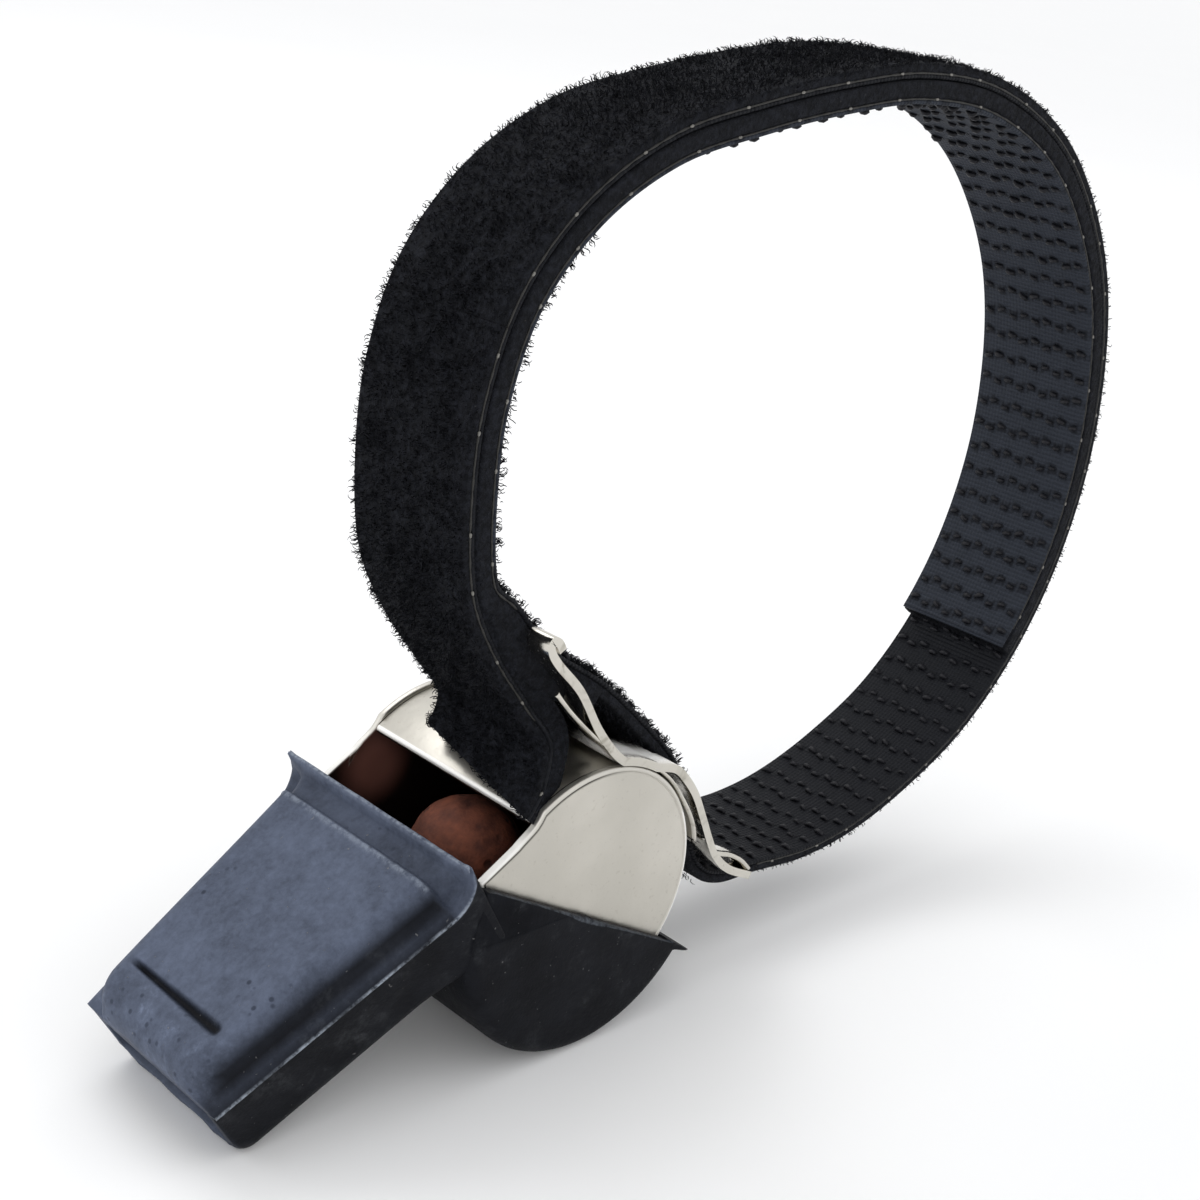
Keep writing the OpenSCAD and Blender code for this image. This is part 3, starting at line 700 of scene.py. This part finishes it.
def sleeve():
    """The sleeve on the mouthpiece: outer rings from the raised rear lip over the channel, the
    ledge and the flat top to the rounded front, then back inside along the metal. The rings
    close into one skin, so the last ring joins the first."""
    at = np.r_[-0.8, -0.78, -0.7, -0.55, -0.4, -0.2, 0, 0.2, 0.4, 0.6, 0.9, 1.2:3.2:0.1,
               3.4:19.4:0.6, 19.5:21.6:0.08, 21.8:24.3:20j, 24.5, 24.65, 24.76, SLEEVE_END]
    flat = 3.15 + 0.3 * ease(2, 22, at)
    lip = 1 - ease(-0.45, 0.15, at)
    channel = (1 - lip) * (1 - ease(1.75, 2.25, at))
    bead = 0.12 * np.exp(-((at - 2.35) / 0.22) ** 2)
    fall = np.clip((at - 20.9) / 3.92, 0, 1)
    end_round = 0.25 * (1 - np.sqrt(1 - np.clip((-0.55 - at) / 0.25, 0, 1) ** 2))
    front = 0.55 + 2.95 * np.sqrt(np.maximum(1 - fall ** 2.6, 0))
    top = np.minimum(flat + 0.45 * lip - 0.75 * channel + bead, front) - end_round
    wide = 11.95 - (at + 0.7) * math.tan(TAPER) * 1.1
    curl = 1 - np.sqrt(1 - np.clip((2.6 - at) / 3.42, 0, 1) ** 2)
    ridge = np.minimum(0.15 + curl * 3.2, top - 0.3)
    top_half = (wide - 1.75 * (1 - lip) - 0.25 * lip - 1.5 * (1 - np.sqrt(1 - fall ** 3))
                - end_round)
    top_round = np.minimum(1.75 - 1.2 * lip, np.maximum(top - ridge - 0.2, 0.1) * 0.95)
    low = -7 + 1.6 * (1 - np.sqrt(1 - np.clip((at - 23.2) / 1.62, 0, 1) ** 2))
    outer = section(at, top, top_half, wide - end_round, ridge, low, top_round)
    y, a = outer[..., 1], outer[..., 0]
    flat_part = outer[..., 2] > (ridge + 0.8 * (top - ridge))[:, None]
    wide_at = 0.36 + 0.13 * y / 6
    groove = np.exp(-np.abs((a - GROOVE_AT) / wide_at) ** 3)
    groove = groove * (1 - ease(5.0, 6.3, np.abs(y))) * flat_part
    outer[..., 2] -= 0.62 * groove
    outer[..., 2] += ripple(y, 2.0, 0.06) * (1 - ease(-0.3, 0.2, a)) * (outer[..., 2] > 2.2)
    outer[..., 0] += ripple(y * 1.3, 5.0, 0.07) * ease(24.2, 24.7, a)
    horn = ease(10.9, 11.9, np.abs(y)) * (1 - ease(-0.45, 0.1, a))
    outer[..., 2] += 0.45 * horn * (outer[..., 2] > 2.0)
    inner = []
    mouth_end, gap = ROOF_LEN + COVER_GAP, COVER_GAP
    for station, play, hi, lo in (
            (SLEEVE_END, -0.75, -0.7, -4.3), (mouth_end, -0.75, -0.7, -4.3),
            (mouth_end, gap, gap, -MOUTH_H - gap), (-0.75, gap, gap, -MOUTH_H - gap)):
        ring = outer[-1].copy()
        ring[:, 1] = np.clip(ring[:, 1] / 7.2, -1, 1) * (half_at(station) + play)
        ring[:, 2] = np.clip((ring[:, 2] + 3.2) / 2.6, -1, 1) * (hi - lo) / 2 + (hi + lo) / 2
        ring[:, 0] = station
        inner.append(ring)
    rings = np.concatenate([outer, np.array(inner)])
    edge_highlight, dust_and_sheen = np.zeros((2, *rings.shape[:2]))
    n, m, k = len(at), rings.shape[1], RIDGE_COLUMN
    at, ridge, top, channel = (v[:, None] for v in (at, ridge, top, channel))
    y, up, rise = rings[:n, :, 1], rings[:n, :, 2], top - ridge
    on_ridge = np.isin(np.arange(m), [k - 1, k, m - k, m - k + 1])
    # Painted highlight along the parting ridge, brighter in places.
    edge_highlight[:n] += on_ridge * (0.6 + 0.35 * np.sin(at * 0.9 - 0.6))
    ledge, rear = np.exp(-((at - 2.4) / 0.25) ** 2), np.exp(-((at + 0.62) / 0.15) ** 2)
    # Painted highlight on the ledge's bead and on the rear lip's top edge.
    edge_highlight[:n] += (up > ridge + 0.75 * rise) * (0.45 * ledge + 0.85 * rear)
    # Painted sheen: full on the top faces and fading down their rounded edges, kept at the two ends
    # but less on the near side towards the front, a faint band above the ridge on the sides, weaker
    # in the channel and left out of the groove; the front rim's tip gets it too except on the near
    # side.
    on_top = ease(ridge + 0.3 * rise, ridge + 1.05 * rise + 0.001, up) ** 1.3
    above = (up > ridge - 0.08) * (1 - ease(5.8, 8.4, y) * ease(10, 20, at))
    at_ends = np.maximum(ease(2.6, 1.6, at), ease(21.8, 23.4, at)) * above * 0.9
    low_band = 0.24 * np.exp(-((up - ridge - 0.5) / 0.35) ** 2) * (np.abs(y) > 5)
    dust_and_sheen[:n] = np.maximum(np.maximum(on_top, at_ends), low_band) * (1 - 0.3 * channel)
    dust_and_sheen[:n] *= 1 - groove
    tip = slice(n - 3, n + 1)
    dust_and_sheen[tip] = np.maximum(dust_and_sheen[tip], 0.75 * (1 - ease(5.8, 8.6, rings[tip, :, 1])))
    obj = paint(grid("rubber_sleeve", mouth(rings)[::-1], along=True), "edge_highlight",
                np.clip(edge_highlight, 0, 1)[::-1])
    return paint(obj, "dust_and_sheen", np.clip(dust_and_sheen, 0, 1)[::-1])


CUP_TURN, CUP_RIM, CUP_R = math.radians(-36), 1.5, 14.0


def cup():
    """The cup round the barrel: a ring of wall whose side faces start on the straight rim line,
    written in polar form as rim over the cosine of the turn from the cup's middle. Its rear
    end is drawn out to a thin spur. Two ears of the same form carry the side faces up to the
    sleeve's lip."""
    turn = np.concatenate([turned(-83.6, -79, 9), turned(-77.5, 62, 70)])
    rim = np.minimum(CUP_RIM / np.cos(turn), 12.2) + ripple(np.degrees(turn) / 14, 3.0, 0.05)
    spur = 2.1 * (1 - ease(-83.6, -80.6, np.degrees(turn)))
    out_r, in_r, out_y, in_y, r = CUP_R + spur, 11.85, 11.8, 10.72, 1.3
    columns = [(rim, in_y), (rim - 0.05, in_y + 0.5), (rim, out_y - 0.25),
               (rim + 0.1, out_y - 0.06), (rim + 0.3, out_y), (rim + 0.42, out_y)]
    columns += [(rim + 0.42 + share * (out_r - r - rim - 0.42), out_y)
                for share in (0.25, 0.5, 0.75)]
    columns += [(out_r - r + r * np.cos(a), out_y - r + r * np.sin(a)) for a in turned(90, 0, 7)]
    columns += [(out_r, share * (out_y - r)) for share in np.linspace(0.85, 0, 5)]
    columns += [(rr, -y) for rr, y in columns[-2::-1]]
    columns += [(in_r, -in_y), (in_r, 0), (in_r, in_y)]

    def around(ring, turn):
        """The ring's reach and y, one point for each, at every turn from the cup's middle."""
        return np.stack([round_axis(turn + CUP_TURN, rr, y) for rr, y in ring], 1)

    sheets, m = [around(columns, turn)], len(columns)
    ear, out_y, far = turned(60, 83.2, 22), 11.785, 13.6
    edge = CUP_RIM / np.cos(ear)
    ring = [(edge, in_y), (edge - 0.04, in_y + 0.5), (edge, out_y - 0.25),
            (edge + 0.1, out_y - 0.06), (np.minimum(edge + 0.3, far), out_y),
            (np.minimum(edge + 0.42, far), out_y), (far, out_y), (far, in_y)]
    for side in (1, -1):
        sheets.append(around([(rr, side * y) for rr, y in ring], ear)[:, ::side])
    edge_highlight = []
    # A faint painted highlight along the rim lines of the wall and the ears.
    for sheet, rims in zip(sheets, ([2, 3, 4, *range(m - 7, m - 3)], [2, 3, 4], [3, 4, 5])):
        at_rim = np.zeros(sheet.shape[:2])
        at_rim[:, rims] = 0.2
        edge_highlight.append(at_rim.ravel())
    return paint(grid("rubber_cup", *sheets), "edge_highlight", np.concatenate(edge_highlight))


finish_piece(sleeve(), RUBBER, "rubber_cover")
finish_piece(cup(), RUBBER, "rubber_cover")


# Strap: the loop's points are shares of its height from the slot, the others of the barrel's
# radius from its axis
LOOP_H = 80
SLOT_AT = np.array([-1.235, -0.261]) * BARREL_R
LOOP = LOOP_H * np.array([
    [-0.168, -0.224], [-0.258, -0.255], [-0.363, -0.268], [-0.473, -0.263], [-0.583, -0.225],
    [-0.685, -0.153], [-0.768, -0.048], [-0.818, 0.078], [-0.833, 0.208], [-0.808, 0.338],
    [-0.753, 0.448], [-0.658, 0.548], [-0.543, 0.618], [-0.423, 0.663], [-0.303, 0.698],
    [-0.183, 0.724], [-0.068, 0.717], [0.031, 0.675], [0.103, 0.601], [0.149, 0.514],
    [0.176, 0.428], [0.173, 0.348]]) + SLOT_AT
START = BARREL_R * np.array([[-1.823, -1.475]])
TAIL = BARREL_R * np.array([[-0.139, 1.635], [-0.170, 1.300], [0.070, 1.105]])
DIVE = LOOP_H * np.array([[0.134, 0.383], [0.112, 0.31]]) + SLOT_AT
DIVE = np.vstack([DIVE, BARREL_R * np.array([
    [-0.807, 1.308], [-1.057, 0.737], [-1.238, 0.209], [-1.259, -0.209], [-1.197, -0.661],
    [-1.238, -0.988], [-1.433, -1.252]])])
STEPS = 12
# Heights at which the closing end begins and at which it bends
SPLIT_Z, TAB_Z = 49, 34.6
# Thickness of the woven ground under the hooks and of the matted pile under the loose loops
GROUND, NAP = 0.4, 0.9
# The tail's end: the length it is drawn over, then its pull, skew, spread and shift
DRAWN_OVER, PULL, SKEW, SPREAD, SHIFT = 8, 1.1, 1.4, 0.1, 2.2


def strap_lines():
    """The tape's base line: the inner turn, its dive through the clip and the outer turn."""
    loop = np.vstack([START, LOOP])
    outer = smooth_line(np.vstack([loop, TAIL]), STEPS)
    inner = (outer - (PILE_T + HOOK_T + TURN_GAP) * out_of(outer))[5 * STEPS:21 * STEPS + 1]
    lead = inner[-1 - round(0.75 * STEPS)]
    dive = smooth_line(np.vstack([lead, inner[-1], DIVE, loop[:2]]), STEPS)
    return inner, dive[STEPS + 1:-STEPS - 1], outer


def run_of(line):
    """Length of a line up to each of its points."""
    return np.concatenate([[0], np.cumsum(np.linalg.norm(np.diff(line, axis=0), axis=1))])


def along_tape(line, run, across, lift, drawn=None):
    """Points on the tape at a run along it, a place across it and a height off its base line,
    with the way along, the way out and the way across at each. drawn, the run of the tail's
    end, pulls its last 8 mm forward, most at the near edge, and spreads and shifts it."""
    if drawn:
        pull = ease(drawn - DRAWN_OVER, drawn, run)
        run = run + (PULL + SKEW * across / TAPE_HALF) * pull
        across = across * (1 + SPREAD * pull) + SHIFT * pull
    total, way = run_of(line), out_of(line)
    x, z, way_x, way_z = [np.interp(run, total, v) for v in (*line.T, *way.T)]
    out = unit(np.stack([way_x, 0 * run, way_z], -1))
    side = np.broadcast_to([0.0, 1.0, 0.0], out.shape)
    ahead = np.cross(side, out)
    return np.stack([x, TAPE_SIDE + across, z], -1) + lift[..., None] * out, ahead, out, side


def layer(name, line, low, high, half, start=0.0, drawn=None, swell=1.0):
    """A band between two offsets of a line: a rounded rectangle carried along it. Its UV map is
    the run along the tape and the place across it, both in mm. swell, a number for each
    point of the line or one for all, multiplies the offsets."""
    mid, rise = (low + high) / 2, (high - low) / 2
    r = min(0.22, rise * 0.9)
    ring = np.array([(mid + sz * (rise - r) + r * math.sin(a), sy * (half - r) + r * math.cos(a))
                     for sz, sy, first in ((1, 1, 0), (1, -1, 90), (-1, -1, 180), (-1, 1, 270))
                     for a in np.radians([first, first + 45, first + 90])])
    run = run_of(line)
    if drawn:
        run = run[run <= drawn]
    along, across = np.broadcast_arrays(run[:, None], ring[None, :, 1])
    lift = ring[None, :, 0] * np.broadcast_to(swell, len(line))[:len(run), None]
    points = along_tape(line, along, across, lift, drawn)[0]
    edge = np.append(ring[:, 1], ring[0, 1])[None]
    return grid(name, points, uv=np.stack(np.broadcast_arrays(run[:, None] + start, edge), -1))


def edge_thread(name, line, side, drawn=None):
    """A thin thread along one edge of the tape, between pile and ground, slightly twisted."""
    run = run_of(line)
    if drawn:
        run = run[run <= drawn - 6]
    turn, radius = turned(0, 300, 6), 0.09 + 0.03 * np.sin(run * 4)
    off = radius[:, None] * np.cos(turn) + 0.05
    across = side * (TAPE_HALF - 0.08) + radius[:, None] * np.sin(turn)
    run = np.broadcast_to(run[:, None], off.shape)
    return grid(name, along_tape(line, run, across, off, drawn)[0])


# A strand's thickness, and the spines of a strand of pile and of a hook
STRAND_R = 0.045
BENT = np.array([[0, 0, 0], [0.28, 0, 0.45], [0.05, 0, 0.85], [-0.35, 0, 1.0]])
ARCH = np.array([[-0.42, 0, 0], [-0.34, 0, 0.14], [-0.12, 0, 0.26], [0.14, 0, 0.26],
                 [0.34, 0, 0.14], [0.44, 0, 0]])


def nap_strands(name, line, first, last, dense, rng, lift, drawn=None, root=0.55):
    """Loose loops of the pile: short bent strands rooted in the nap, leaning with a slow drift
    along the tape so that they lie in tufts, fanning out over the tape's two edges."""
    count = int((last - first) * 2 * TAPE_HALF * dense)
    run = rng.uniform(first, last, count)
    across = rng.uniform(-TAPE_HALF, TAPE_HALF, count)
    depth = rng.uniform(root, root + 0.35, count)
    at, ahead, out, side = along_tape(line, run, across, depth, drawn)
    fan = across / TAPE_HALF
    lean_a = 0.7 * np.sin(0.9 * run + 1.3 * across) + 0.5 * np.sin(0.37 * run - 2.1 * across)
    lean_a += rng.normal(0, 0.6, count)
    lean_s = 0.6 * np.sin(1.1 * across + 0.7 * run) + rng.normal(0, 0.55, count) + 1.6 * fan ** 5
    grow = unit(out + 0.56 * lean_a[:, None] * ahead + 0.8 * lean_s[:, None] * side)
    a = unit(np.cross(grow, rng.normal(0, 1, (count, 3))))
    axes = np.stack([a, np.cross(grow, a), grow], 1)
    tuft = 0.35 * np.sin(0.8 * run + 2 * np.sin(0.6 * across)) * np.sin(0.9 * across + 0.5 * run)
    length = rng.uniform(0.22, 0.55, count) * lift * (1 + tuft) * (1 - 0.25 * np.abs(fan) ** 8)
    shape, tris = taper_tube(BENT, [1.1, 1.0, 0.8, 0], 3)
    base = np.concatenate([np.repeat(BENT[:-1], 3, 0), BENT[-1:]])
    points = at[:, None, :] + np.einsum("vk,nkc->nvc", base, axes * length[:, None, None])
    points += np.einsum("vk,nkc->nvc", shape - base, axes * STRAND_R)
    return copies(name, points, tris)


def hook_rows(name, line, first, last, start, rng, drawn=None):
    """Rows of hooks on the tape's inner face: low black arches lying across the tape, a little
    askew, by turns before and behind the row's line."""
    low, high = [(run + start) / HOOK_PITCH - 0.5 for run in (first, last)]
    rows = np.arange(math.ceil(low), high)
    row, column = pairs(rows, np.arange(-4, 5))
    run = (row + 0.5) * HOOK_PITCH - start + HOOK_SHIFT * (-1.0) ** (row + column)
    across = column * HOOK_STEP
    ok = (run > first) & (run < last)
    run, across = run[ok], across[ok]
    count = len(run)
    run, across = run + rng.normal(0, 0.05, count), across + rng.normal(0, 0.05, count)
    at, ahead, out, side = along_tape(line, run, across, np.full(count, -GROUND + 0.06), drawn)
    shape, tris = taper_tube(ARCH, [0.15, 0.19, 0.21, 0.21, 0.18, 0], 6)
    skew, scale = rng.normal(0, 0.2, count)[:, None], rng.uniform(0.8, 1.2, count)[:, None, None]
    along = side * np.cos(skew) + ahead * np.sin(skew)
    axes = np.stack([along, np.cross(-out, along), -out], 1) * scale
    return scatter(name, shape, tris, at, axes)


def stitches(name, line, side, rng, drawn):
    """Dots every 6 mm or so where the edge thread is caught, coloured light as a painted glint of
    the clear thread.
    """
    run = np.arange(2, (drawn or run_of(line)[-1]) - 1, 6.1)
    run = run + rng.normal(0, 0.5, len(run))
    ones = np.ones(len(run))
    at, ahead, out, _ = along_tape(line, run, side * TAPE_HALF * ones, 0.08 * ones, drawn)
    spine = np.array([[0, 0, -0.2], [0, 0, -0.12], [0, 0, 0.1], [0, 0, 0.2]])
    shape, tris = taper_tube(spine, [0.06, 0.12, 0.1, 0], 6)
    return scatter(name, shape, tris, at, np.stack([out, np.cross(ahead, out), ahead], 1))


inner, dive, outer = strap_lines()
split = int(np.nonzero((outer[:, 1] > SPLIT_Z) & (np.arange(len(outer)) > 18 * STEPS))[0].max())
fixed_line = np.vstack([inner, dive, outer[:split + 1]])
# The tail's end goes on round the barrel and sinks a little
drop = turned(0, 14, 8)[1:]
lie = math.atan2(outer[-1, 1], outer[-1, 0]) - drop
rest_r = np.hypot(*outer[-1]) - 0.45 * drop / drop[-1]
closing_line = np.vstack([outer[split:], arc(rest_r, lie)])
fixed_run, tail_run = run_of(fixed_line), run_of(outer[split:])
dive_from, outer_from = fixed_run[len(inner) - 6], fixed_run[len(inner) + len(dive)]
fixed_end, tail_end = fixed_run[-1], tail_run[-1]
tab_at = run_of(closing_line)[int(np.nonzero(closing_line[:, 1] > TAB_Z)[0].max())]
WEAVE = "hook_weave", hook_weave(dive_from)


def on_strap(obj, finish, *nodes):
    """A piece that rides the strap."""
    finish_piece(obj, finish, *nodes, body="strap")


def closing(obj, finish, *nodes):
    """A piece of the closing end: its placing baked into its mesh, with its finish, and the CAD
    nodes it stands for hidden.
    """
    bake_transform(obj)
    dress(obj, finish, nodes)


rng = np.random.default_rng(7)
DENSE = 10     # strands to a square mm
lap_end = outer_from + run_of(outer)[5 * STEPS]
on_strap(layer("strap_pile", fixed_line, 0.02, NAP, TAPE_HALF - 0.05), PILE, "loop_tape")
on_strap(layer("strap_ground", fixed_line, -GROUND, 0, TAPE_HALF), WEAVE, "hook_tape")
closing(layer("closing_pile", closing_line, 0.02, NAP, TAPE_HALF - 0.05, 0, tail_end),
        PILE, "tab_loop_tape")
closing(layer("closing_ground", closing_line, -GROUND, 0, TAPE_HALF, fixed_end, tail_end),
        WEAVE, "tab_hook_tape")

# Pile swollen between the two turns above the clip, and under the tail
pressed = fixed_line[:len(inner) + 3 * STEPS]
swollen = np.arange(len(pressed)) > len(inner) - 4 * STEPS
full = 1 + 0.9 * ease(31.5, 26, pressed[:, 1]) * ease(13, 20, pressed[:, 1]) * swollen
on_strap(layer("pressed_pile", pressed, 0.2, 1.62, TAPE_HALF + 0.1, swell=full), PILE)
under = outer[split:]
under = under[under[:, 1] < 40]
pad = np.concatenate([0.3 + 0.7 * ease(36, 27, under[:, 1]), np.ones(7)])
closing(layer("tail_pad", closing_line[-len(pad):], -2.3, -GROUND + 0.05, TAPE_HALF - 0.1, 0,
              tail_end - tail_run[-len(under)], swell=pad), PILE)

# Loose strands: piece, line, first and last run, density, length, drawn end, depth of the roots
BARE = 9    # run of the dive left without strands where it meets the outer turn
cuts = np.linspace(outer_from, fixed_end, 4)
back = fixed_line[len(inner) - 4 * STEPS:len(inner) + len(dive)][::-1]
for carry, name, line, first, last, dense, *rest in (
        (on_strap, "strap_nap_1", fixed_line, cuts[0], cuts[1], 1.3, 0.75),
        (on_strap, "strap_nap_2", fixed_line, cuts[1], cuts[2], 1.3, 0.95),
        (on_strap, "strap_nap_3", fixed_line, cuts[2], cuts[3], 1.3, 1.3),
        (on_strap, "dive_nap", fixed_line, dive_from, outer_from - BARE, 0.6, 1.4, None, 1.0),
        (on_strap, "dive_fuzz", back, BARE, run_of(back)[-1], 1.2, 1.3, None, 0.3),
        (closing, "closing_nap", closing_line, 0, tail_end, 1.3, 1.5, tail_end),
        (closing, "tail_nap", closing_line, tail_end - 0.7, tail_end + 0.1, 5, 1.7, tail_end, 0.1)):
    carry(nap_strands(name, line, first, last, DENSE * dense, rng, *rest), PILE)
on_strap(hook_rows("strap_hooks", fixed_line, 0, lap_end + 4, 0, rng), NYLON)
closing(hook_rows("closing_hooks", closing_line, tab_at + 2, tail_end - 0.4, fixed_end, rng,
                  tail_end), NYLON)
for side, word in ((1, "near"), (-1, "far")):
    for part, line, carry, node, end in (
            ("inner", fixed_line[3:len(inner) + STEPS], on_strap, "edge_stitching", None),
            ("outer", fixed_line[len(inner) + len(dive):], on_strap, "edge_stitching", None),
            ("closing", closing_line, closing, "tab_stitching", tail_end)):
        carry(edge_thread(f"{part}_thread_{word}", line, side, end), THREAD, node)
        carry(stitches(f"{part}_dots_{word}", line, side, rng, end), STITCH_GLINT)


# Floor, light, camera
def lamp(name, at, aim, size, power):
    """A white area lamp of the given size in metres, aimed at a point."""
    data = bpy.data.lights.new(name, "AREA")
    data.shape, data.size, data.size_y = "RECTANGLE", size[0], size[1]
    data.energy = power
    obj = linked(name, data)
    obj.location = at
    obj.rotation_euler = (Vector(aim) - Vector(at)).to_track_quat("-Z", "Y").to_euler()


def studio():
    """A pale floor 18 m wide, a near-white sky and three soft lamps."""
    corners = 9 * np.array([[-1, -1, 0], [1, -1, 0], [-1, 1, 0], [1, 1, 0]], np.float32)
    floor = grid("floor", 1000 * corners.reshape(2, 2, 3), around=False, caps=False)
    # The grid was pitched with the whistle, so its corners are put back level, in metres
    floor.data.vertices.foreach_set("co", corners.ravel())
    f = Finish("pale_floor", Roughness=0.9)
    colour = f.blend(f.noise(6, 3), (0.955, 0.955, 0.955), (0.975, 0.975, 0.975))
    floor.data.materials.append(f.wear(colour))
    world = bpy.data.worlds.new("studio")
    bpy.context.scene.world = world
    world.use_nodes = True
    sky = world.node_tree.nodes["Background"].inputs
    sky[0].default_value, sky[1].default_value = (0.985, 0.99, 1.0, 1), 1.0
    centre = (0.01, 0, 0.035)
    lamp("overhead", (0.0, -0.45, 0.6), centre, (0.5, 0.3), 0.9)
    lamp("front", (0.55, 0.55, 0.45), centre, (0.5, 0.4), 0.5)
    lamp("left", (0.5, -0.45, 0.35), centre, (0.3, 0.4), 0.3)


def camera():
    """The photograph's view, solved from the barrel's circles and the mouthpiece's edges."""
    data = bpy.data.cameras.new("photo_view")
    data.sensor_width, data.lens = 36, 56.89
    data.clip_start = 0.005
    obj = linked("photo_view", data)
    right, down = (-0.70985, 0.69299, 0.12601), (0.15788, 0.33090, -0.93037)
    ahead = (-0.68643, -0.64053, -0.34429)
    turn = Matrix([[r, -d, -a] for r, d, a in zip(right, down, ahead)]).to_4x4()
    obj.matrix_world = Matrix.Translation((0.122175, 0.10402, 0.09141)) @ turn
    bpy.context.scene.camera = obj


studio()
camera()
bpy.context.scene.view_settings.view_transform = "Standard"
